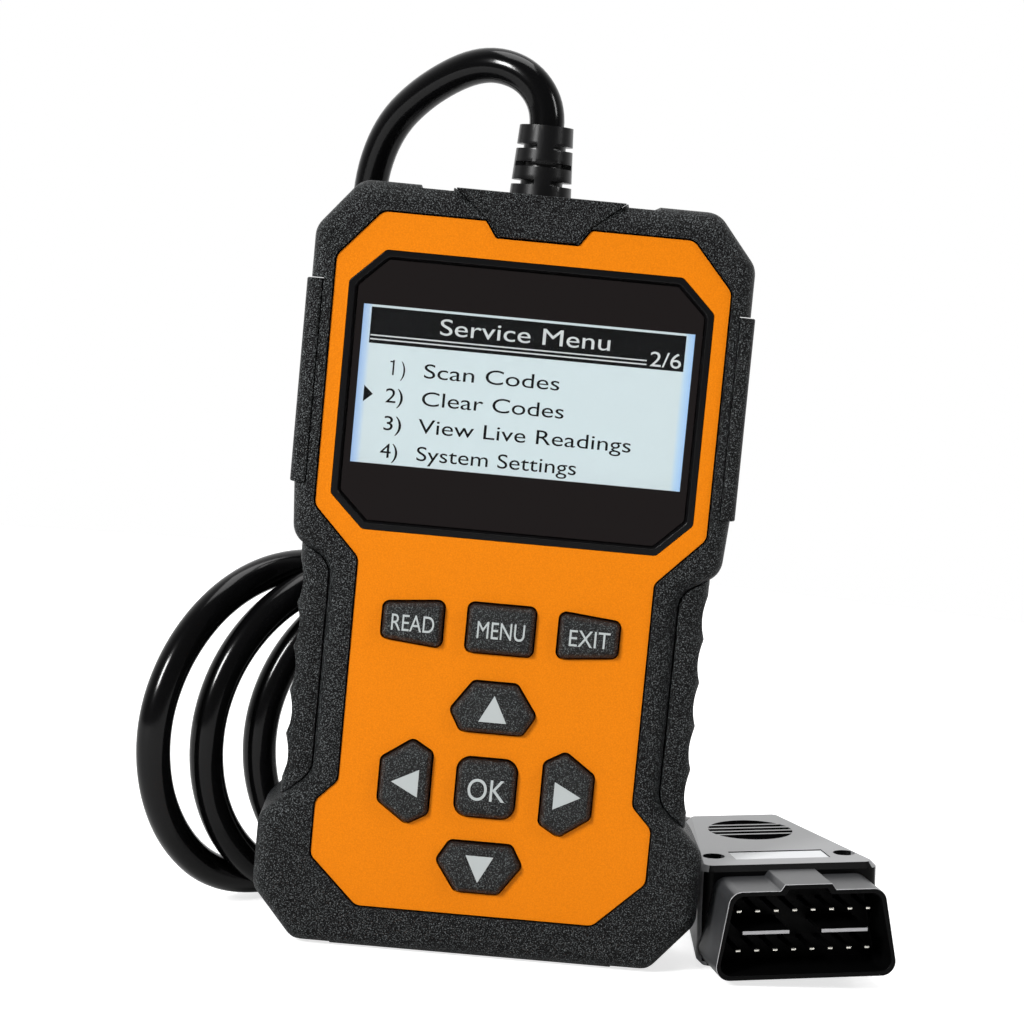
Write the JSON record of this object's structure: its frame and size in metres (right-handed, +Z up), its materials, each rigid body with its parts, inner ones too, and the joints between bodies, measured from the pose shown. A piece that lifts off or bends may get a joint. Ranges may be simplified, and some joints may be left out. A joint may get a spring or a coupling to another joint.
{
  "type": "obd code reader",
  "caption": "Handheld vehicle diagnostic code reader with a display, push keys and finger grips, a coiled captive cord and a diagnostic port plug",
  "frame": {"origin": "the middle of the handset's foot, on the surface it stands on", "axes": "+X the handset's right seen from its front, -Y the way its face looks, +Z up along the handset's length"},
  "size_m": [0.1651, 0.1258, 0.189],
  "materials": {
    "black_housing": "textured moulded plastic",
    "orange_plate": "fine grain",
    "soft_black": "fine grain",
    "charcoal_key": "fine grain, printed legends",
    "dark_window": "polished",
    "lcd_glass": "clear over a backlight",
    "white_backlight": "smooth",
    "green_board": "solder resist",
    "black_chip": "moulded",
    "metal_can": "drawn",
    "pale_socket": "moulded",
    "steel_screw": "plated",
    "silicone_mat": "moulded silicone",
    "gloss_relief": "glossy",
    "cord_jacket": "glossy cord jacket",
    "grey_plug": "semi-matte grain",
    "plated_pin": "plated",
    "pale_label": "bare"
  },
  "bodies": {
    "handset": {"board_capacitors": "metal_can", "board_chips": "black_chip", "board_crystal": "metal_can", "board_screws": "steel_screw", "board_socket": "pale_socket", "buzzer": "black_chip", "cable_gland": "gloss_relief", "case_screws": "steel_screw", "cord_coil": "cord_jacket", "cord_lower": "cord_jacket", "cord_stub": "cord_jacket", "cord_upper": "cord_jacket", "face_plate": "orange_plate", "finger_grip_left": "soft_black", "finger_grip_right": "soft_black", "front_shell": "black_housing", "gland_cover": "black_housing", "harness_plug": "pale_socket", "harness_wires": "cord_jacket", "keypad_mat": "silicone_mat", "lcd_backlight": "white_backlight", "lcd_frame": "black_housing", "lcd_panel": "lcd_glass", "main_board": "green_board", "plug_board": "green_board", "plug_label": "pale_label", "plug_lower_shell": "grey_plug", "plug_pins_lower": "plated_pin", "plug_pins_upper": "plated_pin", "plug_screws": "steel_screw", "plug_shroud": "grey_plug", "plug_strain_relief": "gloss_relief", "plug_upper_shell": "grey_plug", "rear_shell": "black_housing", "screen_bezel": "black_housing", "screen_lens": "dark_window", "screen_mask": "dark_window", "side_strip_left": "soft_black", "side_strip_right": "soft_black"},
    "key_read": {"key_read": "charcoal_key"},
    "key_menu": {"key_menu": "charcoal_key"},
    "key_exit": {"key_exit": "charcoal_key"},
    "key_up": {"key_up": "charcoal_key"},
    "key_right": {"key_right": "charcoal_key"},
    "key_down": {"key_down": "charcoal_key"},
    "key_left": {"key_left": "charcoal_key"},
    "key_ok": {"key_ok": "charcoal_key"}
  },
  "joints": [
    {"name": "key_read_press", "type": "slide", "parent": "handset", "child": "key_read", "axis": [0, 1, 0], "range_m": [0, 0.0012], "stiffness_N_per_m": 900, "springref_m": -0.0006},
    {"name": "key_menu_press", "type": "slide", "parent": "handset", "child": "key_menu", "axis": [0, 1, 0], "range_m": [0, 0.0012], "stiffness_N_per_m": 900, "springref_m": -0.0006},
    {"name": "key_exit_press", "type": "slide", "parent": "handset", "child": "key_exit", "axis": [0, 1, 0], "range_m": [0, 0.0012], "stiffness_N_per_m": 900, "springref_m": -0.0006},
    {"name": "key_up_press", "type": "slide", "parent": "handset", "child": "key_up", "axis": [0, 1, 0], "range_m": [0, 0.0012], "stiffness_N_per_m": 900, "springref_m": -0.0006},
    {"name": "key_right_press", "type": "slide", "parent": "handset", "child": "key_right", "axis": [0, 1, 0], "range_m": [0, 0.0012], "stiffness_N_per_m": 900, "springref_m": -0.0006},
    {"name": "key_down_press", "type": "slide", "parent": "handset", "child": "key_down", "axis": [0, 1, 0], "range_m": [0, 0.0012], "stiffness_N_per_m": 900, "springref_m": -0.0006},
    {"name": "key_left_press", "type": "slide", "parent": "handset", "child": "key_left", "axis": [0, 1, 0], "range_m": [0, 0.0012], "stiffness_N_per_m": 900, "springref_m": -0.0006},
    {"name": "key_ok_press", "type": "slide", "parent": "handset", "child": "key_ok", "axis": [0, 1, 0], "range_m": [0, 0.0012], "stiffness_N_per_m": 900, "springref_m": -0.0006}
  ]
}
